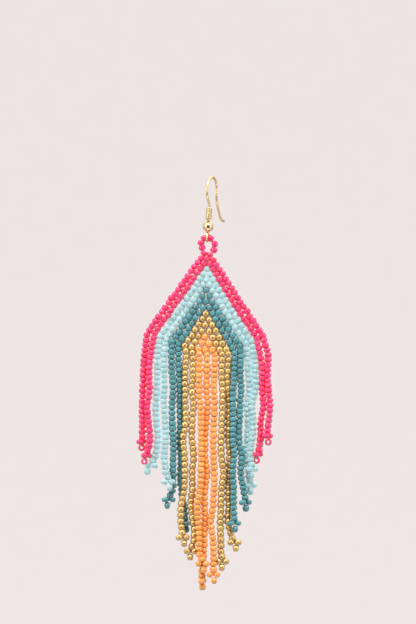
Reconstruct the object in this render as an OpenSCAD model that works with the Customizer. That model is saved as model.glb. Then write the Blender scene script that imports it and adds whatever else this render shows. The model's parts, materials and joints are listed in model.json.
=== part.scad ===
// Beaded fringe earring, hanging as it is worn.
// The origin is the middle of the wire at the top of its arch, +Z is up and the camera looks along +Y.

/* [Ear wire] */
// Thickness of the ear wire
wire_d = 0.7; // [0.6:0.05:0.75]
// Radius of the arch that goes through the ear lobe, to the middle of the wire
arch_r = 3.8; // [3.6:0.1:4]
// Height of the arch's top above the top of the coil
arch_rise = 8.9; // [8.7:0.1:9.3]
// Angle of the kink where the wire leaves the coil
kink_angle = 45; // [42:1:48]
// Angle between the wire's plane and the line of sight
wire_turn = 22; // [10:1:35]
// Lean of the shank to the left
wire_lean = 3.7; // [0:0.1:6]
// Angle of the tail's first run away from upright
tail_angle = 40; // [30:1:45]

/* [Coil, ball and ring] */
// Thickness of the fine wire in the coil
coil_wire_d = 0.48; // [0.4:0.02:0.5]
// Number of turns in the coil
coil_turns = 8; // [5:1:8]
// Diameter of the polished ball
ball_d = 3.2; // [2.8:0.1:3.2]
// Distance of the ball's middle below the arch's top
ball_drop = 14.85; // [14.8:0.05:14.9]
// Radius of the ring to the middle of its wire
ring_r = 1.25; // [1.15:0.05:1.25]
// Thickness of the ring's wire
ring_wire_d = 0.64; // [0.5:0.02:0.64]
// Turn of the ring about upright, its near side to the left
ring_turn = 10; // [0:1:12]

/* [Beadwork] */
// Diameter of a seed bead
bead_d = 1.85; // [1.7:0.05:1.85]
// Distance between the beads of a row
bead_pitch = 1.88; // [1.86:0.01:1.9]
// Diameter of a fringe strand
strand_d = 1.8; // [1.5:0.05:1.8]
// Diameter of the thread in the hanging loop
thread_d = 0.4; // [0.3:0.05:0.5]
// Gap between the colour bands
band_gap = 0.12; // [0.08:0.02:0.3]

/* [Hidden] */
$fn = 48;
slip = 0.05;

// Ear wire, measured from the top of the arch in the wire's own plane
kink_r = 1.3;
front_r = 4.5;
rear_r = 7.5;
tail_run = 3.4;
flare_r = 3.6;
flare_angle = 42;
flare_run = 1.1;
tip_taper = 0.15;
wire_sides = 16;
bend_step = 7.5;
front_height = arch_rise - arch_r;
front_run = (front_height - (kink_r + front_r) * sin(kink_angle)) / cos(kink_angle);
front_reach = (kink_r + front_r) * (1 - cos(kink_angle)) + front_run * sin(kink_angle);
shank_u = front_reach - arch_r;
ring_clearance = 0.01;
ring_drop = ball_drop + ball_d / 2 + ring_clearance + ring_r + ring_wire_d / 2;
shank_length = ring_drop - ring_r - arch_rise;
coil_r = (wire_d + coil_wire_d) / 2 + slip;
coil_pitch = coil_wire_d * 0.98;

// Each row of the wire's path is a bend radius, or 0 for a straight run, and a turn or a length
RADIUS = 0;
AMOUNT = 1;
WIRE_PATH = [
  [0, shank_length],
  [kink_r, -kink_angle],
  [0, front_run],
  [front_r, kink_angle],
  [arch_r, 180],
  [rear_r, -tail_angle],
  [0, tail_run],
  [flare_r, -flare_angle],
  [0, flare_run]
];

// Hinge of the drop: the loop's thread lies in the ring, with a bead on either side of the wire
seat_rise = 0.9;
HINGE = on_wire(shank_u, -ring_drop - ring_r) + [0, 0, seat_rise];

// Loop beads from the left end over the ring to the right end, as x and z from the hinge
LOOP = [
  [-1.5, -2.8],
  [-1.85, -1.35],
  [-0.97, 0],
  [1.02, 0],
  [2.3, -1.7],
  [2, -3.45]
];
loop_bead_d = 1.76;
loop_bead_sides = 12;
thread_sides = 8;

// Panel rows: the end beads of the first row, and their step from row to row, from the hinge
last_row = 18;
panel_top = 0.58;
panel_bottom = last_row + 0.5;
strand_top = last_row + 0.7;
bead_end_share = 0.35;
bead_end_height = 0.5;
left_start = [-0.92, -4.47];
left_step = [-0.972, -1.356];
right_start = [0.91, -5.01];
right_step = [0.912, -1.41];
row_sag = 0.288;
band_beads = 2;
chevrons = 4;
edge_points = 5;

// Fringe: heights of the route's points and the shape of the end clusters
first_level = -35;
level_step = -5;
ring_sides = 8;
cluster_height = 1.8;
cluster_reach = 1.95;
neck_height = 1.4;

// Each strand: name, column in the last row, x at each level, x of the end pair, x and z of the
// end bead, turn of the pair about upright, and depth at a third, two thirds and the end
NAME = 0;
COLUMN = 1;
SWAY = 2;
PAIR_X = 3;
TIP_X = 4;
TIP_Z = 5;
TURN = 6;
DEPTH = 7;
STRANDS = [
  ["strand_pink_1", 0, [-18.9, -19.3, -19.4, -19.4, -19.4],
    -19.7, -19.6, -62.7, 65, [0.5, 0.5, 0.4]],
  ["strand_pink_2", 1, [-17, -17.4, -17.4, -17.9, -17.4, -17.1],
    -18.2, -18.8, -66.8, 60, [-0.5, -0.6, -0.6]],
  ["strand_sky_1", 2, [-14.9, -14.8, -15.1, -15.4, -15.1, -14.8, -15.6],
    -16.7, -18, -69.8, -35, [0.2, 0.3, 0.5]],
  ["strand_sky_2", 3, [-12.8, -12.8, -12.9, -12.8, -12.6, -12.5, -12.8, -12.3],
    -11.6, -11.2, -74.7, 0, [0, -0.3, -1.6]],
  ["strand_teal_1", 4, [-10.7, -10.5, -10.4, -10.4, -10.5, -10.1, -10.2, -10.3, -10.4],
    -11.5, -12, -80.1, 15, [0, 0.2, 0.5]],
  ["strand_teal_2", 5, [-8.6, -8.4, -8.3, -8.2, -8.2, -8.2, -8.1, -8.1, -7.9, -6.9],
    -6.3, -6.3, -87.4, 80, [1.2, 1.8, 2.4]],
  ["strand_gold_1", 6, [-6.4, -6.7, -6.7, -6.5, -6.6, -7.2, -7, -6.8, -7, -7.7, -7.7],
    -7.3, -6.9, -91.4, 0, [-0.2, -0.3, -0.3]],
  ["strand_gold_2", 7, [-4.3, -4.3, -4.5, -4.1, -4.5, -4.6, -4.1, -4.5, -4.4, -4.8, -4.2, -3.9],
    -4.9, -5.1, -95.6, 0, [0, 0.3, 0.6]],
  ["strand_orange_1", 8, [-2.3, -2.3, -2.2, -2, -1.8, -1.7, -1.8, -2, -2, -2.8, -2.8, -2.6, -2.2],
    -1.4, -0.9, -99.2, -10, [-0.8, -0.8, -1]],
  ["strand_orange_2", 9, [0, 0, 0, 0, -0.3, -0.6, -0.7, -0.1, -0.5, -0.8, -0.8, -1.1, -1.1, -1.7],
    -1.5, -1.4, -104.5, 80, [0.7, 0.6, 0.9]],
  ["strand_orange_3", 10, [2.3, 2, 2, 2.1, 2, 1.8, 1.9, 2.1, 2.2, 1.7, 1, 1.8, 2, 2],
    1.9, 2.1, -102.5, 0, [0, 0, -0.5]],
  ["strand_gold_3", 11, [4.3, 4, 4.5, 4.4, 4.3, 4.2, 4.2, 4.8, 4.5, 4.1, 3.9, 4.3, 4.3],
    4.5, 4.4, -98.7, 0, [0.1, 0.3, 0.6]],
  ["strand_gold_4", 12, [6.2, 6.1, 6.2, 6.4, 6.4, 6.3, 6.6, 6.5, 6.4, 6.3, 6.2],
    8.2, 8.6, -93, 0, [1.3, 1.5, 1.5]],
  ["strand_teal_3", 13, [8.2, 8.1, 8, 7.7, 7.8, 7.8, 8.1, 7.7, 8, 7.8],
    8.2, 8.4, -87.1, 25, [-0.3, -0.3, -0.3]],
  ["strand_teal_4", 14, [10.2, 10, 10.3, 9.9, 9.8, 9.6, 10.3, 10.2, 10.9],
    11.5, 11.6, -80.9, 35, [0.2, 0.3, 0.3]],
  ["strand_sky_3", 15, [12.2, 12.3, 12.6, 12.3, 12.3, 12, 11.9, 12.4],
    13.1, 12.9, -75.9, 35, [1.1, 1.6, 1.9]],
  ["strand_sky_4", 16, [14.1, 14.3, 14.4, 13.6, 13.9, 13.4, 12.9],
    13.5, 13.2, -70.9, 35, [-0.1, -0.2, -0.2]],
  ["strand_pink_3", 17, [16, 16.3, 16.3, 16.8, 16.1, 16],
    15.2, 14.8, -66.5, 60, [0.2, 0.4, 0.5]],
  ["strand_pink_4", 18, [18.2, 18.2, 18.3, 18.7, 18.4],
    18.1, 18.3, -61, 55, [-0.2, -0.4, -0.6]]
];

pink = [0.96, 0.16, 0.45];
sky = [0.62, 0.85, 0.88];
teal = [0.16, 0.52, 0.54];
bronze = [0.72, 0.56, 0.24];
orange = [1, 0.6, 0.33];
gold = [0.9, 0.72, 0.32];

// Place in the part's frame of a point in the wire's own plane
function on_wire(u, w) =
  let(x = u * sin(wire_turn), y = u * cos(wire_turn))
  [x * cos(wire_lean) + w * sin(wire_lean), y, w * cos(wire_lean) - x * sin(wire_lean)];

// End beads of a row, which may be a part row
function left_end(row) = left_start + left_step * (row - 1);
function right_end(row) = right_start + right_step * (row - 1);

// Height of a row at x: its ends slope, and its middle hangs lower
function row_height(row, x) =
  let(
    full = max(row, 1),
    middle = (left_end(row) + right_end(row)) / 2,
    reach = (right_end(full) - left_end(full)) / 2,
    side = (x - middle.x) / reach.x
  )
  middle.y + side * reach.y - row_sag * (full - 1) * (1 - side * side);

function panel_point(row, x) = [x, row_height(row, x)];
function from_left(row, beads) = panel_point(row, left_end(row).x + beads * bead_pitch);
function from_right(row, beads) = panel_point(row, right_end(row).x - beads * bead_pitch);

// Row where two edges that lie this many beads in from both sides meet
function meeting_row(beads) =
  let(first = right_start.x - left_start.x, step = right_step.x - left_step.x)
  1 + (2 * beads * bead_pitch - first) / step;

function edge_rows(top) =
  [for (i = [0:edge_points]) top + (panel_bottom - top) * i / edge_points];
function reversed(list) = [for (i = [len(list) - 1:-1:0]) list[i]];
function without_first(list) = [for (i = [1:len(list) - 1]) list[i]];

// Colour band between two chevron edges, counted in beads from the panel's sides
function band_outline(outer, inner) =
  let(
    outer_rows = edge_rows(max(meeting_row(outer), panel_top)),
    inner_rows = edge_rows(meeting_row(inner)),
    outer_left = [for (row = outer_rows) from_left(row, outer)],
    outer_right = [for (row = outer_rows) from_right(row, outer)],
    inner_left = [for (row = inner_rows) from_left(row, inner)],
    inner_right = [for (row = inner_rows) from_right(row, inner)],
    pointed = meeting_row(outer) > panel_top
  )
  concat(
    outer_left,
    reversed(inner_left),
    without_first(inner_right),
    reversed(pointed ? without_first(outer_right) : outer_right)
  );

// Middle of the panel: a triangle below the innermost chevron
function core_outline(outer) =
  let(
    rows = edge_rows(meeting_row(outer)),
    left = [for (row = rows) from_left(row, outer)],
    right = [for (row = rows) from_right(row, outer)]
  )
  concat(left, reversed(without_first(right)));

// Route of a strand from its place under the last row to its end bead
function column_x(column) =
  let(left = left_end(strand_top).x, right = right_end(strand_top).x)
  left + (right - left) * column / last_row;
function top_height(strand) = row_height(strand_top, column_x(strand[COLUMN]));
function depth_at(strand, z) =
  let(
    top = top_height(strand),
    share = (top - z) / (top - strand[TIP_Z]),
    depth = strand[DEPTH]
  )
  lookup(share, [[0, 0], [1 / 3, depth[0]], [2 / 3, depth[1]], [1, depth[2]]]);
function route_point(strand, x, z) = [x, depth_at(strand, z), z];

// Rings of a strand: middle, reach of the ellipse along the pair, and reach across it
function strand_rings(strand) =
  let(
    r = strand_d / 2,
    sway = strand[SWAY],
    last_x = sway[len(sway) - 1],
    pair_z = strand[TIP_Z] + cluster_height,
    neck_x = (last_x + strand[PAIR_X]) / 2,
    top = top_height(strand),
    top_x = column_x(strand[COLUMN]),
    top_r = r * bead_end_share
  )
  concat(
    [
      [route_point(strand, top_x, top), top_r, top_r],
      [route_point(strand, top_x, top - bead_end_height), r, r]
    ],
    [for (i = [0:len(sway) - 1]) [route_point(strand, sway[i], first_level + level_step * i), r, r]],
    [
      [route_point(strand, neck_x, pair_z + neck_height), r, r],
      [route_point(strand, strand[PAIR_X], pair_z + r / 2), cluster_reach, r],
      [route_point(strand, strand[PAIR_X], pair_z - r / 2), cluster_reach, r],
      [route_point(strand, strand[TIP_X], strand[TIP_Z]), r, r],
      [route_point(strand, strand[TIP_X], strand[TIP_Z] - r), r / 2, r / 2]
    ]
  );

function ring_points(ring, turn) =
  [
    for (i = [0:ring_sides - 1])
      let(
        angle = 360 * (i + 0.5) / ring_sides,
        along = ring[1] * cos(angle),
        across = ring[2] * sin(angle)
      )
      ring[0] + [along * cos(turn) - across * sin(turn), along * sin(turn) + across * cos(turn), 0]
  ];

// Places along the wire from one row of the path on: u, w and heading away from upright
function wire_places(i, at, heading) =
  i == len(WIRE_PATH) ? [] :
  let(
    radius = WIRE_PATH[i][RADIUS],
    amount = WIRE_PATH[i][AMOUNT],
    steps = radius == 0 ? 1 : ceil(abs(amount) / bend_step),
    run = [
      for (k = [1:steps])
        radius == 0
          ? at + amount * [sin(heading), cos(heading)]
          : at + sign(amount) * radius * bend_offset(heading, amount * k / steps)
    ],
    turned = radius == 0 ? 0 : amount
  )
  concat(
    [for (k = [0:steps - 1]) [run[k].x, run[k].y, heading + turned * (k + 1) / steps]],
    wire_places(i + 1, run[steps - 1], heading + turned)
  );

// Way from the start of a bend of radius 1 to a place in it
function bend_offset(heading, turned) =
  [cos(heading) - cos(heading + turned), sin(heading + turned) - sin(heading)];

function wire_ring(place, radius) =
  [
    for (i = [0:wire_sides - 1])
      let(angle = 360 * i / wire_sides, side = radius * cos(angle))
      [
        place[0] + side * cos(place[2]),
        -radius * sin(angle),
        place[1] - side * sin(place[2])
      ]
  ];

// Closed surface through rings of n points each
module skin(rings, n) {
  last = len(rings) - 1;
  walls = [
    for (k = [0:last - 1], i = [0:n - 1])
      let(a = k * n + i, b = k * n + (i + 1) % n)
      each [[a, b, b + n], [a, b + n, a + n]]
  ];
  first_cap = [for (i = [n - 1:-1:0]) i];
  last_cap = [for (i = [0:n - 1]) last * n + i];
  polyhedron(points = [for (ring = rings) each ring], faces = concat([first_cap], walls, [last_cap]));
}

// Puts a shape drawn in the wire's own plane, XZ, into the part's frame
module in_wire_plane() {
  rotate([0, wire_lean, 0])
    rotate([0, 0, 90 - wire_turn])
      children();
}

module ear_wire() {
  foot = [shank_u, -arch_rise - shank_length];
  places = concat([[foot.x, foot.y, 0]], wire_places(0, foot, 0));
  end = places[len(places) - 1];
  end_run = tip_taper * [sin(end[2]), cos(end[2])];
  tip = [end[0] + end_run.x, end[1] + end_run.y, end[2]];
  color(gold)
    in_wire_plane()
      union() {
        skin(
          concat(
            [for (place = places) wire_ring(place, wire_d / 2)],
            [wire_ring(tip, wire_d / 2 - tip_taper)]
          ),
          wire_sides
        );
        translate([shank_u, 0, -ring_drop])
          rotate([90, 0, wire_turn - ring_turn])
            rotate_extrude()
              translate([ring_r, 0])
                circle(d = ring_wire_d);
      }
}

module hook_coil() {
  color(gold)
    in_wire_plane()
      for (turn = [0:coil_turns - 1])
        translate([shank_u, 0, -arch_rise - coil_wire_d / 2 - slip - turn * coil_pitch])
          rotate_extrude()
            translate([coil_r, 0])
              circle(d = coil_wire_d);
}

module hook_ball() {
  color(gold)
    in_wire_plane()
      translate([shank_u, 0, -ball_drop])
        difference() {
          sphere(d = ball_d);
          cylinder(h = 2 * ball_d, d = wire_d + 2 * slip, center = true);
        }
}

// Thread between two places in the beadwork's plane
module thread_between(from, to) {
  run = to - from;
  translate([from.x, 0, from.y])
    rotate([0, atan2(run.x, run.y), 0])
      cylinder(h = norm(run), d = thread_d, $fn = thread_sides);
}

module hanging_loop() {
  color(pink)
    translate(HINGE)
      union() {
        for (bead = LOOP)
          translate([bead.x, 0, bead.y])
            sphere(d = loop_bead_d, $fn = loop_bead_sides);
        for (i = [1:len(LOOP) - 1])
          thread_between(LOOP[i - 1], LOOP[i]);
      }
}

module panel_plate(outline) {
  translate(HINGE)
    rotate([90, 0, 0])
      linear_extrude(height = bead_d, center = true)
        polygon(outline);
}

// Chevron of one colour, counted from the outside
module panel_band(number) {
  inset = number == 0 ? 0 : band_gap / 2;
  outer = number * band_beads - 0.5 + inset / bead_pitch;
  inner = (number + 1) * band_beads - 0.5 - band_gap / 2 / bead_pitch;
  panel_plate(band_outline(outer, inner));
}

module panel_pink() {
  color(pink)
    panel_band(0);
}

module panel_sky() {
  color(sky)
    panel_band(1);
}

module panel_teal() {
  color(teal)
    panel_band(2);
}

module panel_gold() {
  color(bronze)
    panel_band(3);
}

module panel_orange() {
  color(orange)
    panel_plate(core_outline(chevrons * band_beads - 0.5 + band_gap / 2 / bead_pitch));
}

// Colour of a strand by its column, which runs on from the band above it
function strand_color(column) =
  [pink, sky, teal, bronze, orange][floor(min(column, last_row - column) / band_beads)];

// One tube along the strand's route, which widens into its end cluster
module fringe_strand(strand) {
  color(strand_color(strand[COLUMN]))
    translate(HINGE)
      skin([for (ring = strand_rings(strand)) ring_points(ring, strand[TURN])], ring_sides);
}

ear_wire();
hook_coil();
hook_ball();
hanging_loop();
panel_pink();
panel_sky();
panel_teal();
panel_gold();
panel_orange();
for (strand = STRANDS) {
  fringe_strand(strand);
}
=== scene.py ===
"""Beaded fringe earring: ear wire with coil and ball, chevron panel of seed beads and nineteen strands."""

import bisect
import functools
import json
import math
import random

import bpy
import numpy as np
from bpy.props import FloatProperty, FloatVectorProperty, IntProperty, PointerProperty
from mathutils import Matrix, Vector, noise


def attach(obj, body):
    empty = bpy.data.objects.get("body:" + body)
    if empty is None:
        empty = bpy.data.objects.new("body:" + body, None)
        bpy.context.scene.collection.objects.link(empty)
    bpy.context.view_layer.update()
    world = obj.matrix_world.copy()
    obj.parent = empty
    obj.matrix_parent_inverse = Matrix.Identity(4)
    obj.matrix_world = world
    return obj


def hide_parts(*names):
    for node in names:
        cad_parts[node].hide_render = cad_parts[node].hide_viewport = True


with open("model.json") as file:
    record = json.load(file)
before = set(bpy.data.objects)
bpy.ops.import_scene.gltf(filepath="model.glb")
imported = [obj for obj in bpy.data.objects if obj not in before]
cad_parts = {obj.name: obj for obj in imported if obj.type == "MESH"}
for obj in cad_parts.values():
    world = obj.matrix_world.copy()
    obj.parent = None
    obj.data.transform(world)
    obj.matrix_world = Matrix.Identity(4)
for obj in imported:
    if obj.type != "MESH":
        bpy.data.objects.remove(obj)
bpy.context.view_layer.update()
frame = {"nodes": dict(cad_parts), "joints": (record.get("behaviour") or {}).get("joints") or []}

bl_info = {
    "name": "Beaded Fringe Earring",
    "version": (1, 0, 0),
    "blender": (4, 5, 0),
    "location": "View3D > Sidebar > Earring",
    "description": "Builds a seed bead earring with a chevron panel and a long fringe",
    "category": "Add Mesh",
}

MM = 0.001
SWING = next(joint for joint in frame["joints"] if joint["name"] == "drop_swing")
HINGE = Vector(SWING["pos_m"])

# Colours of the beads, from the panel's outside to its middle
COLOURS = ("pink", "sky", "teal", "gold", "orange")
BAND_BEADS = 2
LAST_ROW = 18


# Settings

def length(name, description, size, low=0.05, high=500):
    """A size in the sidebar, given here in millimetres."""
    return FloatProperty(
        name=name,
        description=description,
        default=size * MM,
        min=low * MM,
        max=high * MM,
        precision=5,
        unit="LENGTH",
        subtype="DISTANCE",
    )


def colour(name, description, default):
    """A colour in the sidebar."""
    return FloatVectorProperty(
        name=name, description=description, default=default, min=0, max=1, size=3, subtype="COLOR"
    )


def share(name, description, default):
    """A share from 0 to 1 in the sidebar."""
    return FloatProperty(
        name=name, description=description, default=default, min=0, max=1, subtype="FACTOR"
    )


def power(name, description, watts):
    """The power of a light in the sidebar."""
    return FloatProperty(name=name, description=description, default=watts, min=0, unit="POWER")


class BeadColours(bpy.types.PropertyGroup):
    """Colours of the glass, the metal coat and the thread."""

    pink: colour("Pink", "Opaque glass of the outer chevron", (0.775, 0.034, 0.192))
    sky: colour("Sky", "Pearly glass of the second chevron", (0.345, 0.505, 0.535))
    teal: colour("Teal", "Opaque glass of the third chevron", (0.051, 0.228, 0.255))
    gold: colour("Gold", "Metal coat of the fourth chevron", (0.70, 0.445, 0.10))
    orange: colour("Orange", "Opaque glass of the middle", (0.82, 0.37, 0.095))
    thread: colour("Thread", "Nylon beading thread", (0.86, 0.80, 0.76))


class BeadSizes(bpy.types.PropertyGroup):
    """Sizes of the seed beads and of the thread that they hang on."""

    pink: length("Pink Bead", "Diameter of a pink bead", 2.14)
    sky: length("Sky Bead", "Diameter of a sky bead", 2.14)
    teal: length("Teal Bead", "Diameter of a teal bead", 2.14)
    gold: length("Gold Bead", "Diameter of a gold bead", 2.14)
    orange: length("Orange Bead", "Diameter of an orange bead", 2.14)
    pink_pitch: length("Pink Pitch", "Distance from bead to bead on a pink strand", 1.50)
    sky_pitch: length("Sky Pitch", "Distance from bead to bead on a sky strand", 1.55)
    teal_pitch: length("Teal Pitch", "Distance from bead to bead on a teal strand", 1.53)
    gold_pitch: length("Gold Pitch", "Distance from bead to bead on a gold strand", 1.72)
    orange_pitch: length("Orange Pitch", "Distance from bead to bead on an orange strand", 1.60)
    hole: length("Hole", "Diameter of the hole through a bead", 0.66)
    thread: length("Thread", "Diameter of the beading thread", 0.18)
    unevenness: share("Unevenness", "How much the beads differ in size, shape and tilt", 0.6)
    segments: IntProperty(name="Segments", description="Sides of a bead", default=24, min=8, max=48)


class WireSizes(bpy.types.PropertyGroup):
    """Sizes of the ear wire, its coil, ball and ring, in the wire's own plane."""

    thickness: length("Wire", "Thickness of the ear wire", 0.7)
    arch: length("Arch", "Radius of the arch through the ear lobe", 3.8)
    arch_rise: length("Arch Rise", "Height of the arch's top above the coil", 8.9)
    coil_wire: length("Coil Wire", "Thickness of the fine wire in the coil", 0.48)
    coil_turns: IntProperty(name="Coil Turns", description="Turns in the coil", default=8, min=3, max=12)
    ball: length("Ball", "Diameter of the polished ball", 3.2)
    ball_drop: length("Ball Drop", "Distance of the ball below the arch's top", 14.85)
    ring: length("Ring", "Radius of the ring to the middle of its wire", 1.25)
    ring_wire: length("Ring Wire", "Thickness of the ring's wire", 0.64)
    plating: colour("Plating", "Gold plating", (0.93, 0.73, 0.42))


class StageLooks(bpy.types.PropertyGroup):
    """Backdrop, lights and camera."""

    backdrop: colour("Backdrop", "Pale sweep under and behind the earring", (0.84, 0.771, 0.758))
    view_height: length("View Height", "Height of the picture at the earring", 187.2, high=1000)
    distance: length("Camera Distance", "Distance from the camera to the earring", 1000, high=5000)
    top: power("Top Light", "Softbox above the camera", 5.75)
    side: power("Side Lights", "Softbox on either side of the camera", 3.45)
    low: power("Low Light", "Reflector below the camera", 1.05)
    back: power("Back Light", "Softbox behind the earring", 3.0)
    room: FloatProperty(
        name="Room Light", description="Strength of the light from overhead", default=1.38, min=0
    )


# Mesh helpers

def new_object(name, points, faces, materials, face_materials=None, tones=None):
    """A smooth mesh object; tones gives each point the tone of its bead."""
    mesh = bpy.data.meshes.new(name)
    mesh.from_pydata(points, [], faces)
    mesh.shade_smooth()
    for material in materials:
        mesh.materials.append(material)
    if face_materials is not None:
        mesh.polygons.foreach_set("material_index", face_materials)
    if tones is not None:
        attribute = mesh.attributes.new("bead_tone", "FLOAT", "POINT")
        attribute.data.foreach_set("value", tones)
    mesh.update()
    piece = bpy.data.objects.new(name, mesh)
    bpy.context.scene.collection.objects.link(piece)
    return piece


def hand_over(piece, body, nodes):
    """The piece rides on its body and stands for its nodes."""
    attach(piece, body)
    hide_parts(*nodes)


def grid_faces(rings, sides, closed=False):
    """Quads between rings of points that follow each other."""
    runs = rings if closed else rings - 1
    faces = []
    for ring in range(runs):
        here = ring * sides
        there = (ring + 1) % rings * sides
        for side in range(sides):
            after = (side + 1) % sides
            faces.append((here + side, here + after, there + after, there + side))
    return faces


def rod_faces(rings, sides):
    """Quads between rings of points, with a face over either end."""
    last = (rings - 1) * sides
    ends = [tuple(reversed(range(sides))), tuple(range(last, last + sides))]
    return grid_faces(rings, sides) + ends


def frames_along(path):
    """Each point of a path with its two cross directions, without twist."""
    frames = []
    across = None
    for i, point in enumerate(path):
        before = path[max(i - 1, 0)]
        after = path[min(i + 1, len(path) - 1)]
        along = (after - before).normalized()
        if across is None:
            across = along.orthogonal().normalized()
        across = (across - along * across.dot(along)).normalized()
        frames.append((point, across, along.cross(across)))
    return frames


def tube(path, radii, sides):
    """Points and faces of a closed round tube; radii has one radius for each point of the path."""
    points = []
    for (point, across, beside), radius in zip(frames_along(path), radii):
        for side in range(sides):
            angle = 2 * math.pi * side / sides
            points.append(point + radius * (across * math.cos(angle) + beside * math.sin(angle)))
    return points, rod_faces(len(path), sides)


def lathe(outline, sides, place):
    """Points and faces of a closed outline of (radius, height) turned about the upright axis of place."""
    points = []
    for radius, height in outline:
        for side in range(sides):
            angle = 2 * math.pi * side / sides
            points.append(place @ Vector((radius * math.cos(angle), radius * math.sin(angle), height)))
    return points, grid_faces(len(outline), sides, closed=True)


def squared_circle(angle, squareness):
    """A point of a circle of radius 1 that is flattened on four sides; a squareness of 2 is round."""
    c, s = math.cos(angle), math.sin(angle)
    return math.copysign(abs(c) ** (2 / squareness), c), math.copysign(abs(s) ** (2 / squareness), s)


def joined(parts):
    """Points and faces of several parts as one."""
    points, faces = [], []
    for part_points, part_faces in parts:
        start = len(points)
        points.extend(part_points)
        faces.extend(tuple(start + i for i in face) for face in part_faces)
    return points, faces


def smooth_path(points, steps):
    """A Catmull-Rom curve through the points, with steps spans between each two."""
    ends = [2 * points[0] - points[1], *points, 2 * points[-1] - points[-2]]
    path = []
    for i in range(len(points) - 1):
        a, b, c, d = ends[i:i + 4]
        for step in range(steps):
            t = step / steps
            path.append(0.5 * (2 * b + (c - a) * t + (2 * a - 5 * b + 4 * c - d) * t ** 2
                               + (3 * b - a - 3 * c + d) * t ** 3))
    return [*path, points[-1]]


def spans(path):
    """Length of each span of a path."""
    return [(after - before).length for before, after in zip(path, path[1:])]


def places_along(path, distances):
    """Places at the given distances along a path, with their directions."""
    reached = [0.0]
    for span in spans(path):
        reached.append(reached[-1] + span)
    places = []
    for at in distances:
        k = min(max(bisect.bisect_right(reached, at) - 1, 0), len(path) - 2)
        run = path[k + 1] - path[k]
        places.append((path[k] + run * (at - reached[k]) / run.length, run.normalized()))
    return places


# Materials; scales of noise are in spots per metre

NOISE_RANGE = (0.3, 0.7)
GLOW_DEPTH = 0.7 * MM
# Reach and samples of the ambient occlusion that paints shade into the beads' hollows
PAINTED_HOLLOW_REACH = 1.3 * MM
PAINTED_HOLLOW_SAMPLES = 6
PEARL_TINT = (0.75, 0.95, 1.0)
RIPPLE_SCALE = 2600
RIPPLE_DEPTH = 0.03 * MM
GLASS_LOOK = {
    "drift": 0.03, "cloud_scale": 900, "patch_light": 1.2, "patch_share": 0.3, "roughness": (0.22, 0.34),
    "metallic": 0.0, "gloss": 1.0, "gloss_roughness": 0.07, "glaze": 1.6, "edge": (1, 1, 1),
    "ripple": 0.5, "pearl": 0.0,
}
# In each look, deep is a colour painted into the hollows between beads where ambient occlusion finds them:
# painted shade, and on sky beads painted light, as it is lighter than their tint. The range after it gives
# the occlusion over which the tint takes over.
BEAD_LOOKS = {
    "pink": GLASS_LOOK | {
        "contrast": 0.10, "patch_share": 0.25, "deep": (1.0, 0.012, 0.035), "painted_hollow_range": (0.35, 1.0),
        "shine": 0.12, "glow": 0.6, "glow_reach": (1.0, 0.08, 0.14),
    },
    "sky": GLASS_LOOK | {
        "contrast": 0.05, "drift": -0.03, "cloud_scale": 800, "patch_light": 1.12, "patch_share": 0.35,
        "deep": (0.56, 0.86, 0.90), "painted_hollow_range": (0.45, 0.95), "roughness": (0.32, 0.44),
        "gloss": 0.15, "gloss_roughness": 0.16, "shine": 0.08,
        "glow": 1.0, "glow_reach": (2.0, 2.8, 2.9), "ripple": 0.2, "pearl": 0.8,
    },
    "teal": GLASS_LOOK | {
        "contrast": 0.18, "drift": 0.05, "patch_light": 1.5, "deep": (0.013, 0.088, 0.108),
        "painted_hollow_range": (0.12, 0.8), "roughness": (0.20, 0.32), "shine": 0.2,
        "glow": 0.1, "glow_reach": (0.1, 0.5, 0.5),
    },
    "gold": GLASS_LOOK | {
        "contrast": 0.16, "drift": 0.05, "cloud_scale": 1200, "patch_light": 0.7, "patch_share": 0.35,
        "deep": (0.55, 0.23, 0.02), "painted_hollow_range": (0.08, 0.7), "roughness": (0.40, 0.54), "metallic": 1.0,
        "gloss_roughness": 0.12, "glaze": 2.0, "shine": 0.5, "edge": (0.45, 0.28, 0.10),
        "glow": 0.0, "glow_reach": (1, 1, 1), "ripple": 2.0,
    },
    "orange": GLASS_LOOK | {
        "contrast": 0.08, "deep": (1.0, 0.27, 0.01), "painted_hollow_range": (0.25, 0.95), "shine": 0.15,
        "glow": 0.6, "glow_reach": (1.0, 0.45, 0.12),
    },
}
TWIST_SCALE = 5000
TWIST_STRETCH = (1, 1, 0.4)
TWIST_DEPTH = 0.02 * MM
TWIST_SHADES = (0.8, 1.1)
THREAD_ROUGHNESS = 0.55
PLATING_EDGE = (0.50, 0.36, 0.22)
PLATING_CLOUDS = 350
RUB_SCALE = 3200
RUB_STRETCH = (1, 1, 0.25)
WARM_SHADE = {"light": 0.86, "warmth": 0.04}
COOL_SHADE = {"light": 1.08, "warmth": -0.02}
# The light share darkens the plating's tint: the coil's and the ball's are darker copies of the wire's
# plating, painted shade.
WIRE_FINISH = {"roughness": (0.16, 0.30), "scratch_depth": 0.004 * MM, "light": 1.0}
COIL_FINISH_AND_SHADE = {"roughness": (0.34, 0.46), "scratch_depth": 0.004 * MM, "light": 0.82}
BALL_FINISH_AND_SHADE = {"roughness": (0.05, 0.12), "scratch_depth": 0.0008 * MM, "light": 0.92}
FIBRE_SCALE = 60
FIBRE_SHADES = (0.985, 1.015)
SWEEP_GLOW = 0.987
SWEEP_SHARE = 0.04
SWEEP_ROUGHNESS = 0.9
SWEEP_SHINE = 0.1


def new_material(name):
    """A material with its shader and its node tree."""
    material = bpy.data.materials.new(name)
    material.use_nodes = True
    return material, material.node_tree.nodes["Principled BSDF"], material.node_tree


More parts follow.
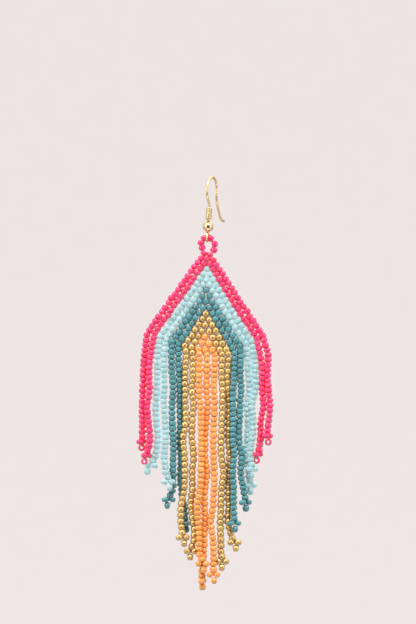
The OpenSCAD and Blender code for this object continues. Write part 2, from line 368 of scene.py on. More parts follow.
def add_node(tree, kind, settings=(), **sockets):
    """A node with its own settings; sockets holds each input's value or the output it is linked to."""
    node = tree.nodes.new(kind)
    for key, value in dict(settings).items():
        setattr(node, key, value)
    for key, value in sockets.items():
        socket = node.inputs[key.replace("_", " ")]
        if isinstance(value, bpy.types.NodeSocket):
            tree.links.new(value, socket)
        else:
            socket.default_value = value
    return node


def set_values(shader, values):
    """Sets constants on the shader's own sockets."""
    for key, value in values.items():
        shader.inputs[key].default_value = value


def grain(tree, scale, detail=3.0, stretch=(1, 1, 1)):
    """Noise fixed to the piece."""
    place = add_node(tree, "ShaderNodeTexCoord")
    mapping = add_node(tree, "ShaderNodeMapping", Vector=place.outputs["Object"], Scale=stretch)
    stretched = mapping.outputs["Vector"]
    return add_node(tree, "ShaderNodeTexNoise", Vector=stretched, Scale=scale, Detail=detail).outputs["Fac"]


def ranged(tree, value, source, result):
    """Maps a value from one range to another."""
    node = add_node(tree, "ShaderNodeMapRange", Value=value)
    for key, limit in zip(("From Min", "From Max", "To Min", "To Max"), (*source, *result)):
        node.inputs[key].default_value = limit
    return node.outputs["Result"]


def spread(tree, value, low, high):
    """Maps noise to a range."""
    return ranged(tree, value, NOISE_RANGE, (low, high))


def blend_colours(tree, factor, first, second):
    """A mix of two colours, either of which may be another node's output."""
    node = add_node(tree, "ShaderNodeMix", {"data_type": "RGBA"})
    tree.links.new(factor, node.inputs["Factor"])
    for socket, value in ((node.inputs[6], first), (node.inputs[7], second)):
        if isinstance(value, bpy.types.NodeSocket):
            tree.links.new(value, socket)
        else:
            socket.default_value = (*value, 1)
    return node.outputs[2]


def shaded(tint, light, warmth=0.0):
    """The tint made lighter or darker, and warmer or cooler."""
    red, green, blue = tint
    return (
        min(red * light * (1 + warmth), 1),
        min(green * light, 1),
        min(blue * light * (1 - warmth), 1),
    )


def add_bump(tree, shader, height, depth, strength=1.0):
    """Unevenness of the surface; depth is in metres."""
    bump = add_node(tree, "ShaderNodeBump", Height=height, Distance=depth, Strength=strength)
    tree.links.new(bump.outputs["Normal"], shader.inputs["Normal"])


def bead_material(name, tint, look):
    """Glass or metal coat of a colour of beads, which differs from bead to bead and is mottled within one,
    with painted shade in the hollows between beads (painted light on sky beads).
    """
    material, shader, tree = new_material(name)
    tone = add_node(tree, "ShaderNodeAttribute", {"attribute_name": "bead_tone"}).outputs["Fac"]
    dark = shaded(tint, 1 - look["contrast"], look["drift"])
    light = shaded(tint, 1 + look["contrast"], -look["drift"])
    body = blend_colours(tree, tone, dark, light)
    cloud = grain(tree, look["cloud_scale"])
    patch = shaded(tint, look["patch_light"], look["drift"])
    clouded = blend_colours(tree, spread(tree, cloud, 0, look["patch_share"]), body, patch)
    # Painted shade: the base colour turns to the look's deep colour in hollows that ambient occlusion finds;
    # on sky beads that colour is lighter, so it is painted light.
    occlusion = add_node(
        tree, "ShaderNodeAmbientOcclusion", {"samples": PAINTED_HOLLOW_SAMPLES}, Distance=PAINTED_HOLLOW_REACH
    )
    painted_hollow_mask = ranged(tree, occlusion.outputs["AO"], look["painted_hollow_range"], (0, 1))
    tree.links.new(blend_colours(tree, painted_hollow_mask, look["deep"], clouded), shader.inputs["Base Color"])
    tree.links.new(spread(tree, cloud, *look["roughness"]), shader.inputs["Roughness"])
    set_values(shader, {
        "Metallic": look["metallic"],
        "Coat Weight": look["gloss"],
        "Coat Roughness": look["gloss_roughness"],
        "Coat IOR": look["glaze"],
        "Sheen Weight": look["pearl"],
        "Sheen Tint": (*PEARL_TINT, 1),
        "Specular IOR Level": look["shine"],
        "Specular Tint": (*look["edge"], 1),
        "Subsurface Weight": look["glow"],
        "Subsurface Radius": look["glow_reach"],
        "Subsurface Scale": GLOW_DEPTH,
    })
    add_bump(tree, shader, grain(tree, RIPPLE_SCALE, detail=2.0), RIPPLE_DEPTH, look["ripple"])
    return material


def thread_material(name, tint):
    """Twisted nylon thread."""
    material, shader, tree = new_material(name)
    twist = grain(tree, TWIST_SCALE, stretch=TWIST_STRETCH)
    shades = [shaded(tint, light) for light in TWIST_SHADES]
    tree.links.new(blend_colours(tree, twist, *shades), shader.inputs["Base Color"])
    set_values(shader, {"Roughness": THREAD_ROUGHNESS})
    add_bump(tree, shader, twist, TWIST_DEPTH)
    return material


def plated_material(name, tint, roughness, scratch_depth):
    """Gold plating with fine rub marks and a slightly uneven colour."""
    material, shader, tree = new_material(name)
    cloud = grain(tree, PLATING_CLOUDS)
    rubs = grain(tree, RUB_SCALE, detail=4.0, stretch=RUB_STRETCH)
    tone = blend_colours(tree, cloud, shaded(tint, **WARM_SHADE), shaded(tint, **COOL_SHADE))
    tree.links.new(tone, shader.inputs["Base Color"])
    tree.links.new(spread(tree, rubs, *roughness), shader.inputs["Roughness"])
    set_values(shader, {"Metallic": 1.0, "Specular Tint": (*PLATING_EDGE, 1)})
    add_bump(tree, shader, rubs, scratch_depth)
    return material


def paper_material(tint):
    """Matt paper of the sweep, which glows so that it stays even."""
    material, shader, tree = new_material("paper_sweep")
    fibre = grain(tree, FIBRE_SCALE, detail=5.0)
    for socket, light in (("Base Color", SWEEP_SHARE), ("Emission Color", 1)):
        shades = [shaded(tint, shade * light) for shade in FIBRE_SHADES]
        tree.links.new(blend_colours(tree, fibre, *shades), shader.inputs[socket])
    set_values(shader, {
        "Emission Strength": SWEEP_GLOW,
        "Roughness": SWEEP_ROUGHNESS,
        "Specular IOR Level": SWEEP_SHINE,
    })
    return material


def shared(name, make, *values):
    """The material of that name, made on first use; the frame's own materials have its slots' names."""
    return bpy.data.materials.get(name) or make(name, *values)


def glass(name):
    """Material of a colour of beads."""
    tint = getattr(bpy.context.scene.bead_colours, name)
    return shared(f"{name}_seed_bead", bead_material, tint, BEAD_LOOKS[name])


def nylon():
    """Material of the thread."""
    return shared("nylon_thread", thread_material, bpy.context.scene.bead_colours.thread)


def plating(name, finish):
    """Material of a plated piece, its tint darkened by the finish's light share: painted shade on the coil
    and the ball.
    """
    tint = shaded(bpy.context.scene.wire_sizes.plating, finish["light"])
    return shared(name, plated_material, tint, finish["roughness"], finish["scratch_depth"])


# Beads

SIDE_STEPS = 9
LIP_STEPS = 3
LIP = 0.09 * MM
ROUNDNESS = (2.4, 3.3)
SIZE_SPREAD = 0.10
PLACE_SPREAD = 0.2 * MM
TILT_SPREAD = 0.24
WEDGE_SPREAD = 0.12
OVAL_SPREAD = 0.06
THREAD_SIDES = 6


def bead_outline(diameter, depth, hole, roundness):
    """Section of a seed bead as (radius, height), up its round side and back down through its hole."""
    radius, half, bore = diameter / 2, depth / 2, hole / 2
    rim = bore + LIP
    reach = math.acos((rim / radius) ** (roundness / 2))
    fullness = half / math.sin(reach) ** (2 / roundness)
    outline = []
    for i in range(SIDE_STEPS + 1):
        angle = reach * (2 * i / SIDE_STEPS - 1)
        rise = math.copysign(abs(math.sin(angle)) ** (2 / roundness), angle)
        outline.append((radius * math.cos(angle) ** (2 / roundness), fullness * rise))
    for end in (1, -1):
        for i in range(1, LIP_STEPS + 1):
            turned = i if end > 0 else LIP_STEPS + 1 - i
            angle = math.pi / 2 * turned / LIP_STEPS
            outline.append((rim - LIP * math.sin(angle), end * (half - LIP * (1 - math.cos(angle)))))
    return np.array(outline)


class BeadWork:
    """Beads and thread of one piece, all of one colour."""

    def __init__(self, name, tint):
        sizes = bpy.context.scene.bead_sizes
        self.name = name
        self.tint = tint
        self.diameter = getattr(sizes, tint)
        self.pitch = getattr(sizes, f"{tint}_pitch")
        self.hole = sizes.hole
        self.thread = sizes.thread
        self.uneven = sizes.unevenness
        self.segments = sizes.segments
        self.random = random.Random(name)
        self.points, self.faces, self.face_materials, self.tones = [], [], [], []

    def add(self, points, faces, material, tone):
        """Adds a closed part; material 0 is the beads and 1 is the thread."""
        start = len(self.points)
        self.points.extend(points)
        self.faces.extend(tuple(start + i for i in face) for face in faces)
        self.face_materials.extend([material] * len(faces))
        self.tones.extend([tone] * len(points))

    def vary(self, amount):
        """A random number within amount of zero, scaled by the beads' unevenness."""
        return self.uneven * self.random.uniform(-amount, amount)

    def stray(self, amount):
        """A random step within amount of zero along each axis."""
        return Vector([self.vary(amount) for _ in range(3)])

    def bead(self, middle, axis, diameter=None, depth=None, loose=1.0, hole=None):
        """One bead whose hole runs along axis; loose is how far it strays from its place and tilt."""
        diameter = (diameter or self.diameter) * (1 + self.vary(SIZE_SPREAD))
        depth = depth or self.pitch
        outline = bead_outline(diameter, depth, hole or self.hole, self.random.uniform(*ROUNDNESS))
        middle = middle + loose * self.stray(PLACE_SPREAD)
        axis = (axis.normalized() + loose * self.stray(TILT_SPREAD)).normalized()
        turns = np.arange(self.segments) * 2 * math.pi / self.segments
        wedge, oval = self.vary(WEDGE_SPREAD), self.vary(OVAL_SPREAD)
        wedge_side, oval_side = self.random.uniform(0, math.tau), self.random.uniform(0, math.tau)
        radii = outline[:, :1] * (1 + oval * np.cos(2 * (turns - oval_side)))
        heights = outline[:, 1:] * (1 + wedge * np.cos(turns - wedge_side))
        local = np.stack([radii * np.cos(turns), radii * np.sin(turns), heights], axis=-1).reshape(-1, 3)
        turn = np.array(axis.to_track_quat("Z", "Y").to_matrix())
        points = local @ turn.T + np.array(middle)
        faces = grid_faces(len(outline), self.segments, closed=True)
        self.add(points.tolist(), faces, 0, self.random.random())

    def thread_along(self, path, steps):
        """Thread that follows a path, with steps spans between each two of its places."""
        route = smooth_path(path, steps)
        points, faces = tube(route, [self.thread / 2] * len(route), THREAD_SIDES)
        self.add(points, faces, 1, 0.5)

    def finish(self, nodes):
        """Makes the piece and hands it to the drop."""
        materials = [glass(self.tint), nylon()]
        piece = new_object(self.name, self.points, self.faces, materials, self.face_materials, self.tones)
        hand_over(piece, "drop", nodes)


# Ear wire, in its own plane: u towards the back, w upright, from the top of the arch

WIRE_TURN = math.radians(22)
WIRE_LEAN = math.radians(3.7)
KINK_ANGLE = math.radians(45)
TAIL_ANGLE = math.radians(40)
FLARE_ANGLE = math.radians(42)
KINK_R = 1.3 * MM
FRONT_R = 4.5 * MM
REAR_R = 7.5 * MM
FLARE_R = 3.6 * MM
TAIL_RUN = 3.4 * MM
FLARE_RUN = 1.1 * MM
TIP_DOME = 0.15 * MM
TIP_STEPS = tuple(math.radians(angle) for angle in (25, 50, 70, 85))
BALL_SEAT = 0.01 * MM
BEND_STEP = math.radians(4)
WIRE_SIDES = 20
RING_SEAM = math.radians(9)
RING_TURN = math.radians(10)
RING_STEPS = 72
COIL_SLIP = 0.05 * MM
COIL_CLOSENESS = 0.98
COIL_CUT = 0.5
COIL_STEPS = 32
COIL_SIDES = 16
COIL_SQUARENESS = 5
BALL_SIDES = 64
BALL_STEPS = 40
BORE_SLIP = 0.04 * MM
BORE_RIM = 0.10 * MM
# Rounded mouth of the ball's bore: distance out from the bore and below its mouth
BORE_LIP = ((0.03 * MM, 0.02 * MM), (0, 0.08 * MM))
# Solder where the shank meets the ring: radius in wire radii, and height above the ring
SOLDER = ((1.3, 0), (1.18, 0.16 * MM), (1.05, 0.3 * MM), (0.98, 0.36 * MM))
SOLDER_CORE = 0.01 * MM


class WirePlan:
    """Places along the ear wire, worked out from its sizes."""

    def __init__(self, sizes):
        lift = sizes.arch_rise - sizes.arch
        bends = KINK_R + FRONT_R
        self.front_run = (lift - bends * math.sin(KINK_ANGLE)) / math.cos(KINK_ANGLE)
        reach = bends * (1 - math.cos(KINK_ANGLE)) + self.front_run * math.sin(KINK_ANGLE)
        self.shank = reach - sizes.arch
        self.ring_drop = sizes.ball_drop + sizes.ball / 2 + BALL_SEAT + sizes.ring + sizes.ring_wire / 2
        self.shank_run = self.ring_drop - sizes.ring - sizes.arch_rise
        self.turn = (
            Matrix.Rotation(WIRE_LEAN, 4, "Y") @ Matrix.Rotation(math.pi / 2 - WIRE_TURN, 4, "Z")
        )

    def place(self, u, w, beside=0.0):
        """A point of the wire's plane in the part's frame."""
        return self.turn @ Vector((u, beside, w))

    def upright(self, w):
        """Turns a shape about the shank's axis and sets it at height w."""
        return self.turn @ Matrix.Translation((self.shank, 0, w))

    def route(self, sizes):
        """The wire's middle from the ring's top over the arch to the tail's end, with its last heading."""
        u, w, heading = self.shank, sizes.ring - self.ring_drop, 0.0
        route = [(u, w)]
        for radius, amount in (
            (0, self.shank_run), (KINK_R, -KINK_ANGLE), (0, self.front_run), (FRONT_R, KINK_ANGLE),
            (sizes.arch, math.pi), (REAR_R, -TAIL_ANGLE), (0, TAIL_RUN), (FLARE_R, -FLARE_ANGLE),
            (0, FLARE_RUN),
        ):
            if radius == 0:
                u, w = u + amount * math.sin(heading), w + amount * math.cos(heading)
                route.append((u, w))
                continue
            side = math.copysign(radius, amount)
            steps = math.ceil(abs(amount) / BEND_STEP)
            for step in range(1, steps + 1):
                after = heading + amount * step / steps
                route.append((u + side * (math.cos(heading) - math.cos(after)),
                              w + side * (math.sin(after) - math.sin(heading))))
            (u, w), heading = route[-1], heading + amount
        return route, heading


def domed_end(route, heading, radius):
    """Adds a dome to the end of a route; returns the route and the radius at each of its points."""
    radii = [radius] * len(route)
    u, w = route[-1]
    for angle in TIP_STEPS:
        run = TIP_DOME * math.sin(angle)
        route.append((u + run * math.sin(heading), w + run * math.cos(heading)))
        radii.append(radius * math.cos(angle))
    return route, radii


def ring_route(plan, sizes):
    """The ring's middle: the wire's foot bent round to a fine seam beside the shank."""
    centre = plan.place(plan.shank, -plan.ring_drop)
    up = plan.place(0, 1)
    across = Matrix.Rotation(WIRE_LEAN, 3, "Y") @ Vector((math.sin(RING_TURN), math.cos(RING_TURN), 0))
    turned = [RING_SEAM / 2 + (math.tau - RING_SEAM) * i / RING_STEPS for i in range(RING_STEPS + 1)]
    return [centre + sizes.ring * (up * math.cos(a) + across * math.sin(a)) for a in turned]


def solder_outline(radius, foot):
    """Section of the solder, up its side from the ring's top and back down its middle."""
    side = [(radius * times, foot + height) for times, height in SOLDER]
    return [(SOLDER_CORE, foot), *side, (SOLDER_CORE, side[-1][1])]


class EARRING_OT_ear_wire(bpy.types.Operator):
    """Bend the ear wire with its ring"""

    bl_idname = "earring.ear_wire"
    bl_label = "Ear Wire"

    def execute(self, context):
        sizes = context.scene.wire_sizes
        plan = WirePlan(sizes)
        route, heading = plan.route(sizes)
        route, radii = domed_end(route, heading, sizes.thickness / 2)
        wire = tube([plan.place(u, w) for u, w in route], radii, WIRE_SIDES)
        ring = ring_route(plan, sizes)
        loop = tube(ring, [sizes.ring_wire / 2] * len(ring), WIRE_SIDES)
        foot = -plan.ring_drop + sizes.ring
        solder = lathe(solder_outline(sizes.thickness / 2, foot), WIRE_SIDES, plan.upright(0))
        points, faces = joined([wire, loop, solder])
        piece = new_object("ear_wire_gold", points, faces, [plating("plated_wire", WIRE_FINISH)])
        hand_over(piece, "hook", ["ear_wire"])
        return {"FINISHED"}


class EARRING_OT_coil(bpy.types.Operator):
    """Wind the fine coil round the shank"""

    bl_idname = "earring.coil"
    bl_label = "Coil"

    def execute(self, context):
        sizes = context.scene.wire_sizes
        plan = WirePlan(sizes)
        half = sizes.coil_wire / 2
        radius = sizes.thickness / 2 + COIL_SLIP + half
        top = -sizes.arch_rise - COIL_SLIP - half
        pitch = sizes.coil_wire * COIL_CLOSENESS
        rings = int((sizes.coil_turns - COIL_CUT) * COIL_STEPS)
        points = []
        for ring in range(rings):
            angle = math.tau * ring / COIL_STEPS
            middle = top - pitch * ring / COIL_STEPS
            for side in range(COIL_SIDES):
                out, up = squared_circle(math.tau * side / COIL_SIDES, COIL_SQUARENESS)
                reach = radius + half * out
                u = plan.shank + reach * math.cos(angle)
                points.append(plan.place(u, middle + pitch / 2 * up, reach * math.sin(angle)))
        faces = rod_faces(rings, COIL_SIDES)
        piece = new_object("coil_gold", points, faces, [plating("plated_coil", COIL_FINISH_AND_SHADE)])
        hand_over(piece, "hook", ["hook_coil"])
        return {"FINISHED"}


class EARRING_OT_ball(bpy.types.Operator):
    """Turn the polished ball with its bore"""

    bl_idname = "earring.ball"
    bl_label = "Ball"

    def execute(self, context):
        sizes = context.scene.wire_sizes
        plan = WirePlan(sizes)
        radius = sizes.ball / 2
        bore = sizes.thickness / 2 + BORE_SLIP
        reach = math.acos((bore + BORE_RIM) / radius)
        mouth = radius * math.sin(reach)
        outline = []
        for i in range(BALL_STEPS + 1):
            angle = -reach + 2 * reach * i / BALL_STEPS
            outline.append((radius * math.cos(angle), radius * math.sin(angle)))
        lip = [(bore + out, mouth - below) for out, below in BORE_LIP]
        outline += lip + [(out, -height) for out, height in reversed(lip)]
        points, faces = lathe(outline, BALL_SIDES, plan.upright(-sizes.ball_drop))
        piece = new_object("ball_gold", points, faces, [plating("plated_ball", BALL_FINISH_AND_SHADE)])
        hand_over(piece, "hook", ["hook_ball"])
        return {"FINISHED"}


# Hanging loop: middles of its beads from the left end over the ring, as x and z from the hinge in millimetres
LOOP = ((-1.5, -2.8), (-1.85, -1.35), (-0.97, 0), (1.02, 0), (2.3, -1.7), (2, -3.45))
LOOP_BEAD_D = 2.1 * MM
LOOP_BEAD_DEPTH = 1.95 * MM


def from_hinge(x, z):
    """A place given in millimetres from the hinge."""
    return HINGE + Vector((x, 0, z)) * MM


class EARRING_OT_loop(bpy.types.Operator):
    """String the loop of beads that hangs in the ring"""

    bl_idname = "earring.loop"
    bl_label = "Hanging Loop"

    def execute(self, context):
        work = BeadWork("hanging_loop_beads", "pink")
        ends = (panel_place(1, 0), panel_place(1, 1))
        route = [ends[0], *(from_hinge(x, z) for x, z in LOOP), ends[1]]
        for before, here, after in zip(route, route[1:], route[2:]):
            room = ((here - before).length + (after - here).length) / 2
            work.bead(here, after - before, LOOP_BEAD_D, min(room, LOOP_BEAD_DEPTH), loose=0)
        work.thread_along(route, steps=6)
        work.finish(["hanging_loop"])
        return {"FINISHED"}


# Panel rows, in millimetres from the hinge: end beads of the first row, their step, the rows' sag and drift
LEFT_START = (-0.92, -4.47)
LEFT_STEP = (-0.972, -1.356)
RIGHT_START = (0.91, -5.01)
RIGHT_STEP = (0.912, -1.41)
LAST_SAG = 4.9
SAG_GROWTH = 1.5
LAST_DRIFT = 0.9
DRIFT_GROWTH = 8
DRIFT_PLACE = 0.68
DRIFT_DROP = 0.4
ROW_STEPS = 24
BEAD_WIDTHS = {"pink": 0.95, "sky": 0.97, "teal": 0.98, "gold": 1.03, "orange": 1.06}
ROW_FIT = 1.05
LEAST_DEPTH = 1.42 * MM
# Waves of the beaded cloth: depth, and the turn of two waves from row to row and from bead to bead
PANEL_WAVE = 0.10
PANEL_WAVES = ((1.7, 0.9), (0.6, -1.3))
STITCH_DIP = 1.2


def row_ends(row):
    """First and last bead of a row, as x and z."""
    return (
        [start + step * (row - 1) for start, step in zip(LEFT_START, LEFT_STEP)],
        [start + step * (row - 1) for start, step in zip(RIGHT_START, RIGHT_STEP)],
    )


def bead_colour(row, bead):
    """Colour of a bead of the panel, by its distance from the nearer side."""
    return COLOURS[min(bead, row - bead) // BAND_BEADS]


def row_drift(row, along):
    """How far the lowest rows are pulled to the right, most beyond their middle."""
    most = LAST_DRIFT * ((row - 1) / (LAST_ROW - 1)) ** DRIFT_GROWTH
    return most * max(math.cos(math.pi * (along - DRIFT_PLACE)), 0) ** 2


def from_front(row, bead):
    """How far the beaded cloth waves backwards at a bead."""
    slow, fast = (by_row * row + by_bead * bead for by_row, by_bead in PANEL_WAVES)
    return Vector((0, PANEL_WAVE * math.sin(slow) * math.cos(fast), 0)) * MM


@functools.cache
def row_places(row):
    """Middles of a row's beads, strung along its sagging line by their widths."""
    (left, left_z), (right, right_z) = row_ends(row)
    sag = LAST_SAG * ((row - 1) / (LAST_ROW - 1)) ** SAG_GROWTH
    line = []
    for step in range(ROW_STEPS + 1):
        along = step / ROW_STEPS
        z = left_z + (right_z - left_z) * along - 4 * sag * along * (1 - along)
        drift = row_drift(row, along)
        line.append(from_hinge(left + (right - left) * along + drift, z - DRIFT_DROP * drift))
    widths = [BEAD_WIDTHS[bead_colour(row, bead)] for bead in range(row + 1)]
    gaps = [0, *((a + b) / 2 for a, b in zip(widths, widths[1:]))]
    run = sum(spans(line)) / sum(gaps)
    places = places_along(line, [sum(gaps[:bead + 1]) * run for bead in range(row + 1)])
    return [middle + from_front(row, bead) for bead, (middle, _) in enumerate(places)]


def panel_place(row, bead):
    """Middle of a bead of the panel."""
    return row_places(row)[bead]


def bead_stand(row, bead):
    """Direction of a panel bead's hole, square to its row, and the height that the next row leaves it."""
    along = panel_place(row, min(bead + 1, row)) - panel_place(row, max(bead - 1, 0))
    down = Vector((along.z, 0, -along.x)).normalized()
    below = (panel_place(row + 1, bead) + panel_place(row + 1, bead + 1)) / 2
    return down, max((below - panel_place(row, bead)).dot(down) * ROW_FIT, LEAST_DEPTH)


def stitch(band, here, after, foot):
    """Thread out of a bead's hole and into the next bead's, dipping between them."""
    dip = (here + after) / 2 + foot * STITCH_DIP
    band.thread_along([here, here + foot, dip, after + foot, after], steps=3)


class EARRING_OT_panel(bpy.types.Operator):
    """Stitch the chevron panel, one band of beads for each colour"""

    bl_idname = "earring.panel"
    bl_label = "Chevron Panel"

    def execute(self, context):
        bands = {tint: BeadWork(f"{tint}_band", tint) for tint in COLOURS}
        for row in range(1, LAST_ROW + 1):
            for bead in range(row + 1):
                band = bands[bead_colour(row, bead)]
                middle = panel_place(row, bead)
                down, depth = bead_stand(row, bead)
                band.bead(middle, down, band.diameter * BEAD_WIDTHS[band.tint], depth)
                if bead < row:
                    stitch(band, middle, panel_place(row, bead + 1), down * depth / 2)
        for tint, band in bands.items():
            band.finish([f"panel_{tint}"])
        return {"FINISHED"}


# Fringe

SWAY = 0.35 * MM
SWAY_LENGTH = 6 * MM
SWAY_DEPTH_PLACE = 0.1
JOG = 0.05 * MM
TOP_SLACK = 3 * MM
TOP_BEAD = 0.72 * MM
NECK_PULL = 0.35
ROUTE_STEPS = 6
STRAND_FIT = 1.02
STRAND_SQUEEZE = 1.05
STRAND_LOOSE = 0.5
DEPTH_SPREAD = 0.12
# Pair and end bead; FACING and SIDE_ON tell by the way the pair stands which way the end bead is turned
PAIR_GAP = 1.44 * MM
PAIR_APART = 0.49
PAIR_LEAN = Vector((0, 0, -2 * MM))
FACING = 0.8
SIDE_ON = 0.95
FACING_AXIS = Vector((0.1, 1, 0))
SIDE_ON_AXIS = Vector((1, 0, 0))
END_HOLE = 0.9 * MM
THIN_TIP = 0.85
BROAD_TIP = 1.25
END_THREAD = 0.4


def node_levels(node):
    """Rings of a strand's solid from the top down: the middle and the widest direction of each."""
    rings = {}
    for vertex in frame["nodes"][node].data.vertices:
        rings.setdefault(round(vertex.co.z, 6), set()).add((round(vertex.co.x, 7), round(vertex.co.y, 7)))
    levels = []
    for z in sorted(rings, reverse=True):
        places = [Vector(place) for place in rings[z]]
        middle = sum(places, Vector((0, 0))) / len(places)
        offsets = [place - middle for place in places]
        xx = sum(offset.x * offset.x for offset in offsets)
        yy = sum(offset.y * offset.y for offset in offsets)
        xy = sum(offset.x * offset.y for offset in offsets)
        levels.append((Vector((middle.x, middle.y, z)), 0.5 * math.atan2(2 * xy, xx - yy)))
    return levels


def wander(place, chance):
    """A strand's small sway from its line, which changes slowly down the strand."""
    across, deep = (
        noise.noise(Vector((place.x, shift, place.z)) / SWAY_LENGTH) for shift in (0, SWAY_DEPTH_PLACE)
    )
    return Vector((SWAY * across + chance.uniform(-1, 1) * JOG, SWAY * deep, 0))


def strand_route(levels, top, pair, chance):
    """A strand's line from its bead of the last row down to its pair."""
    slack = levels[1][0].z - levels[2][0].z
    upper_end = 1 if slack > TOP_SLACK else 2
    hung = [place + wander(place, chance) for place, _ in levels[upper_end:-4]]
    hung[-1].x += NECK_PULL * (pair.x - hung[-1].x)
    return smooth_path([top, *hung, pair], ROUTE_STEPS)


def strung_places(work, route):
    """Place, direction and depth of each bead down a strand's line, to just above its pair."""
    last = sum(spans(route)) - PAIR_GAP + 0.5 * work.pitch
    count = round((last - TOP_BEAD) / work.pitch)
    parts = [1 + work.vary(DEPTH_SPREAD) for _ in range(count)]
    depths = [(last - TOP_BEAD) * part / sum(parts) for part in parts]
    middles = [TOP_BEAD + sum(depths[:i]) + depth / 2 for i, depth in enumerate(depths)]
    return [(*place, depth) for place, depth in zip(places_along(route, middles), depths)]


def tip_turn(work, across):
    """Direction, depth and hole of the end bead of a strand whose pair stands along across."""
    if abs(across.y) < FACING:
        return across, work.pitch, work.hole
    if abs(across.y) < SIDE_ON:
        return FACING_AXIS, work.pitch * THIN_TIP, END_HOLE
    return SIDE_ON_AXIS, work.pitch * BROAD_TIP, work.hole


def string_end(work, pair, turn, tip, end):
    """Pair and end bead of a strand; returns the way of the thread from end through them and back."""
    across = Vector((math.cos(turn), math.sin(turn), 0))
    apart = PAIR_APART * work.diameter
    left, right = pair - across * apart, pair + across * apart
    for side in (left, right):
        work.bead(side, tip - side + PAIR_LEAN, loose=0)
    through, depth, hole = tip_turn(work, across)
    work.bead(tip, through, depth=depth, loose=0, hole=hole)
    inside = through * END_THREAD * work.pitch
    hung_from = tip + Vector((0, 0, (hole - work.thread) / 2))
    return [end, left, hung_from - inside, hung_from + inside, right, end]


def string_strand(node, tint, bead, name):
    """A strand from its bead of the last row along the middle of its solid, with its pair and end bead."""
    work = BeadWork(name, tint)
    levels = node_levels(node)
    (upper, turn), (lower, _), (tip, _) = levels[-4:-1]
    pair = (upper + lower) / 2
    top = panel_place(LAST_ROW, bead)
    strung = strung_places(work, strand_route(levels, top, pair, work.random))
    for middle, axis, depth in strung:
        work.bead(middle, axis, work.diameter * STRAND_FIT, depth * STRAND_SQUEEZE, STRAND_LOOSE)
    end_thread = string_end(work, pair, turn, tip, strung[-1][0])
    work.thread_along([top, *(middle for middle, _, _ in strung)], steps=3)
    work.thread_along(end_thread, steps=6)
    work.finish([node])


class EARRING_OT_fringe(bpy.types.Operator):
    """String the strands of the fringe, one piece for each"""

    bl_idname = "earring.fringe"
    bl_label = "Fringe"

    def execute(self, context):
        strands = [node for node in frame["nodes"] if node.startswith("strand_")]
        strands.sort(key=lambda node: node_levels(node)[0][0].x)
        for bead, node in enumerate(strands):
            string_strand(node, node.split("_")[1], bead, f"{node}_beads")
        return {"FINISHED"}


# Stage, in metres but for the camera's sensor

SENSOR_MM = 36
AIM = Vector((-1.4, 0, -40.4)) * MM
FLOOR = -0.40
SWEEP_MIDDLE = 0.001
SWEEP_FLAT = 1.5
SWEEP_BEND = 0.6
SWEEP_TOP = 2.2
SWEEP_SIDES = 96
BEND_STEPS = 16
WARM_WHITE = (1.0, 0.985, 0.96)
# Each softbox: its setting, its share of that setting's power, place, size and tint
SOFTBOXES = {
    "top_softbox": ("top", 1, (0, -0.52, 0.64), (0.40, 0.35), WARM_WHITE),
    "left_softbox": ("side", 1, (-0.75, -0.63, 0.1), (0.35, 0.8), WARM_WHITE),
    "right_softbox": ("side", 0.75, (0.75, -0.63, 0.1), (0.35, 0.8), WARM_WHITE),
    "low_softbox": ("low", 1, (0, -0.5, -0.65), (0.7, 0.3), (1.0, 0.97, 0.95)),
    "back_softbox": ("back", 1, (0.1, 0.7, 0.6), (0.9, 0.6), (1.0, 0.99, 0.98)),
}
# Light of the room: its lowest share, the heights between which it grows, and the dark cone behind the camera
ROOM_TINT = (1.0, 0.985, 0.97)
ROOM_LOW = 0.5
ROOM_RISE = (-0.2, 0.9)
ROOM_DARK = 0.2
ROOM_CONE = (-0.74, -0.55)


def softbox(name, place, size, watts, tint):
    """A large soft light that faces the earring."""
    light = bpy.data.lights.new(name, "AREA")
    light.shape = "RECTANGLE"
    light.size, light.size_y = size
    light.energy = watts
    light.color = tint
    lamp = bpy.data.objects.new(name, light)
    lamp.location = place
    lamp.rotation_mode = "QUATERNION"
    lamp.rotation_quaternion = (AIM - Vector(place)).to_track_quat("-Z", "Y")
    lamp.visible_camera = False
    bpy.context.scene.collection.objects.link(lamp)


def room_world(strength):
    """Light from all round, brightest overhead, dim below and dark on the camera's side."""
    world = bpy.data.worlds.new("studio")
    world.use_nodes = True
    tree = world.node_tree
    place = add_node(tree, "ShaderNodeTexCoord")
    way = add_node(tree, "ShaderNodeSeparateXYZ", Vector=place.outputs["Generated"]).outputs
    level = ranged(tree, way["Z"], ROOM_RISE, (ROOM_LOW * strength, strength))
    shade = ranged(tree, way["Y"], ROOM_CONE, (ROOM_DARK, 1))
    light = add_node(tree, "ShaderNodeMath", {"operation": "MULTIPLY"})
    tree.links.new(level, light.inputs[0])
    tree.links.new(shade, light.inputs[1])
    background = tree.nodes["Background"]
    background.inputs["Color"].default_value = (*ROOM_TINT, 1)
    tree.links.new(light.outputs[0], background.inputs["Strength"])
    return world


def paper_sweep(tint):
    """Round floor that bends up into a wall on all sides."""
    outline = [(SWEEP_MIDDLE, FLOOR), (SWEEP_FLAT, FLOOR)]
    for i in range(1, BEND_STEPS + 1):
        angle = math.pi / 2 * i / BEND_STEPS
        reach = SWEEP_FLAT + SWEEP_BEND * math.sin(angle)
        outline.append((reach, FLOOR + SWEEP_BEND * (1 - math.cos(angle))))
    outline.append((SWEEP_FLAT + SWEEP_BEND, SWEEP_TOP))
    points, _ = lathe(outline, SWEEP_SIDES, Matrix())
    faces = [tuple(range(SWEEP_SIDES)), *grid_faces(len(outline), SWEEP_SIDES)]
    sweep = new_object("sweep", points, faces, [paper_material(tint)])
    sweep.visible_diffuse = False
    sweep.visible_glossy = False


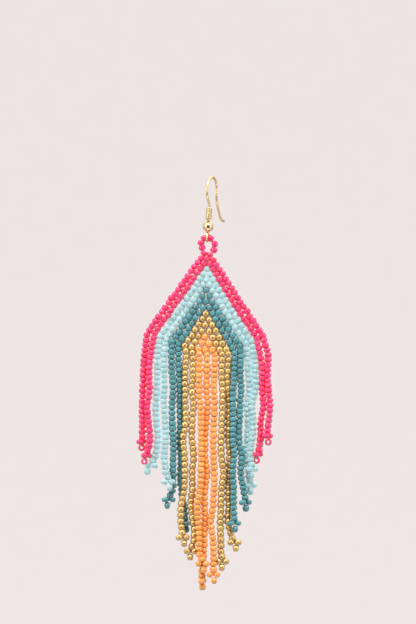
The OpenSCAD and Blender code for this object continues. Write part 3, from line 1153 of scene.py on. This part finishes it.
def aim_camera(distance, view_height):
    """The camera, level with the middle of the picture."""
    camera = bpy.data.cameras.new("camera")
    camera.sensor_width = SENSOR_MM
    camera.lens = SENSOR_MM * distance / view_height
    viewer = bpy.data.objects.new("camera", camera)
    viewer.location = AIM + Vector((0, -distance, 0))
    viewer.rotation_euler = (math.pi / 2, 0, 0)
    bpy.context.scene.collection.objects.link(viewer)
    return viewer


class EARRING_OT_stage(bpy.types.Operator):
    """Set up the sweep, the lights and the camera"""

    bl_idname = "earring.stage"
    bl_label = "Stage"

    def execute(self, context):
        scene = context.scene
        looks = scene.stage_looks
        paper_sweep(looks.backdrop)
        scene.world = room_world(looks.room)
        for name, (setting, part, place, size, tint) in SOFTBOXES.items():
            softbox(name, place, size, part * getattr(looks, setting), tint)
        scene.camera = aim_camera(looks.distance, looks.view_height)
        scene.view_settings.view_transform = "Standard"
        return {"FINISHED"}


class EARRING_PT_sidebar(bpy.types.Panel):
    """Lists the steps and the settings"""

    bl_idname = "EARRING_PT_sidebar"
    bl_label = "Beaded Fringe Earring"
    bl_space_type = "VIEW_3D"
    bl_region_type = "UI"
    bl_category = "Earring"

    def draw(self, context):
        layout = self.layout
        for step in STEPS:
            layout.operator(step.bl_idname)
        for name, group in SETTINGS.items():
            settings = getattr(context.scene, name)
            box = layout.box()
            box.label(text=group.__doc__)
            for key in group.__annotations__:
                box.prop(settings, key)


SETTINGS = {
    "bead_colours": BeadColours,
    "bead_sizes": BeadSizes,
    "wire_sizes": WireSizes,
    "stage_looks": StageLooks,
}
STEPS = (
    EARRING_OT_stage,
    EARRING_OT_ear_wire,
    EARRING_OT_coil,
    EARRING_OT_ball,
    EARRING_OT_loop,
    EARRING_OT_panel,
    EARRING_OT_fringe,
)
CLASSES = (*SETTINGS.values(), *STEPS, EARRING_PT_sidebar)


def register():
    """Adds the settings, the operators and the sidebar."""
    for item in CLASSES:
        bpy.utils.register_class(item)
    for name, group in SETTINGS.items():
        setattr(bpy.types.Scene, name, PointerProperty(type=group))


def unregister():
    """Takes them away again."""
    for name in SETTINGS:
        delattr(bpy.types.Scene, name)
    for item in reversed(CLASSES):
        bpy.utils.unregister_class(item)


def main():
    """Builds the stage and every piece."""
    register()
    bpy.ops.earring.stage()
    bpy.ops.earring.ear_wire()
    bpy.ops.earring.coil()
    bpy.ops.earring.ball()
    bpy.ops.earring.loop()
    bpy.ops.earring.panel()
    bpy.ops.earring.fringe()


if __name__ == "__main__":
    main()
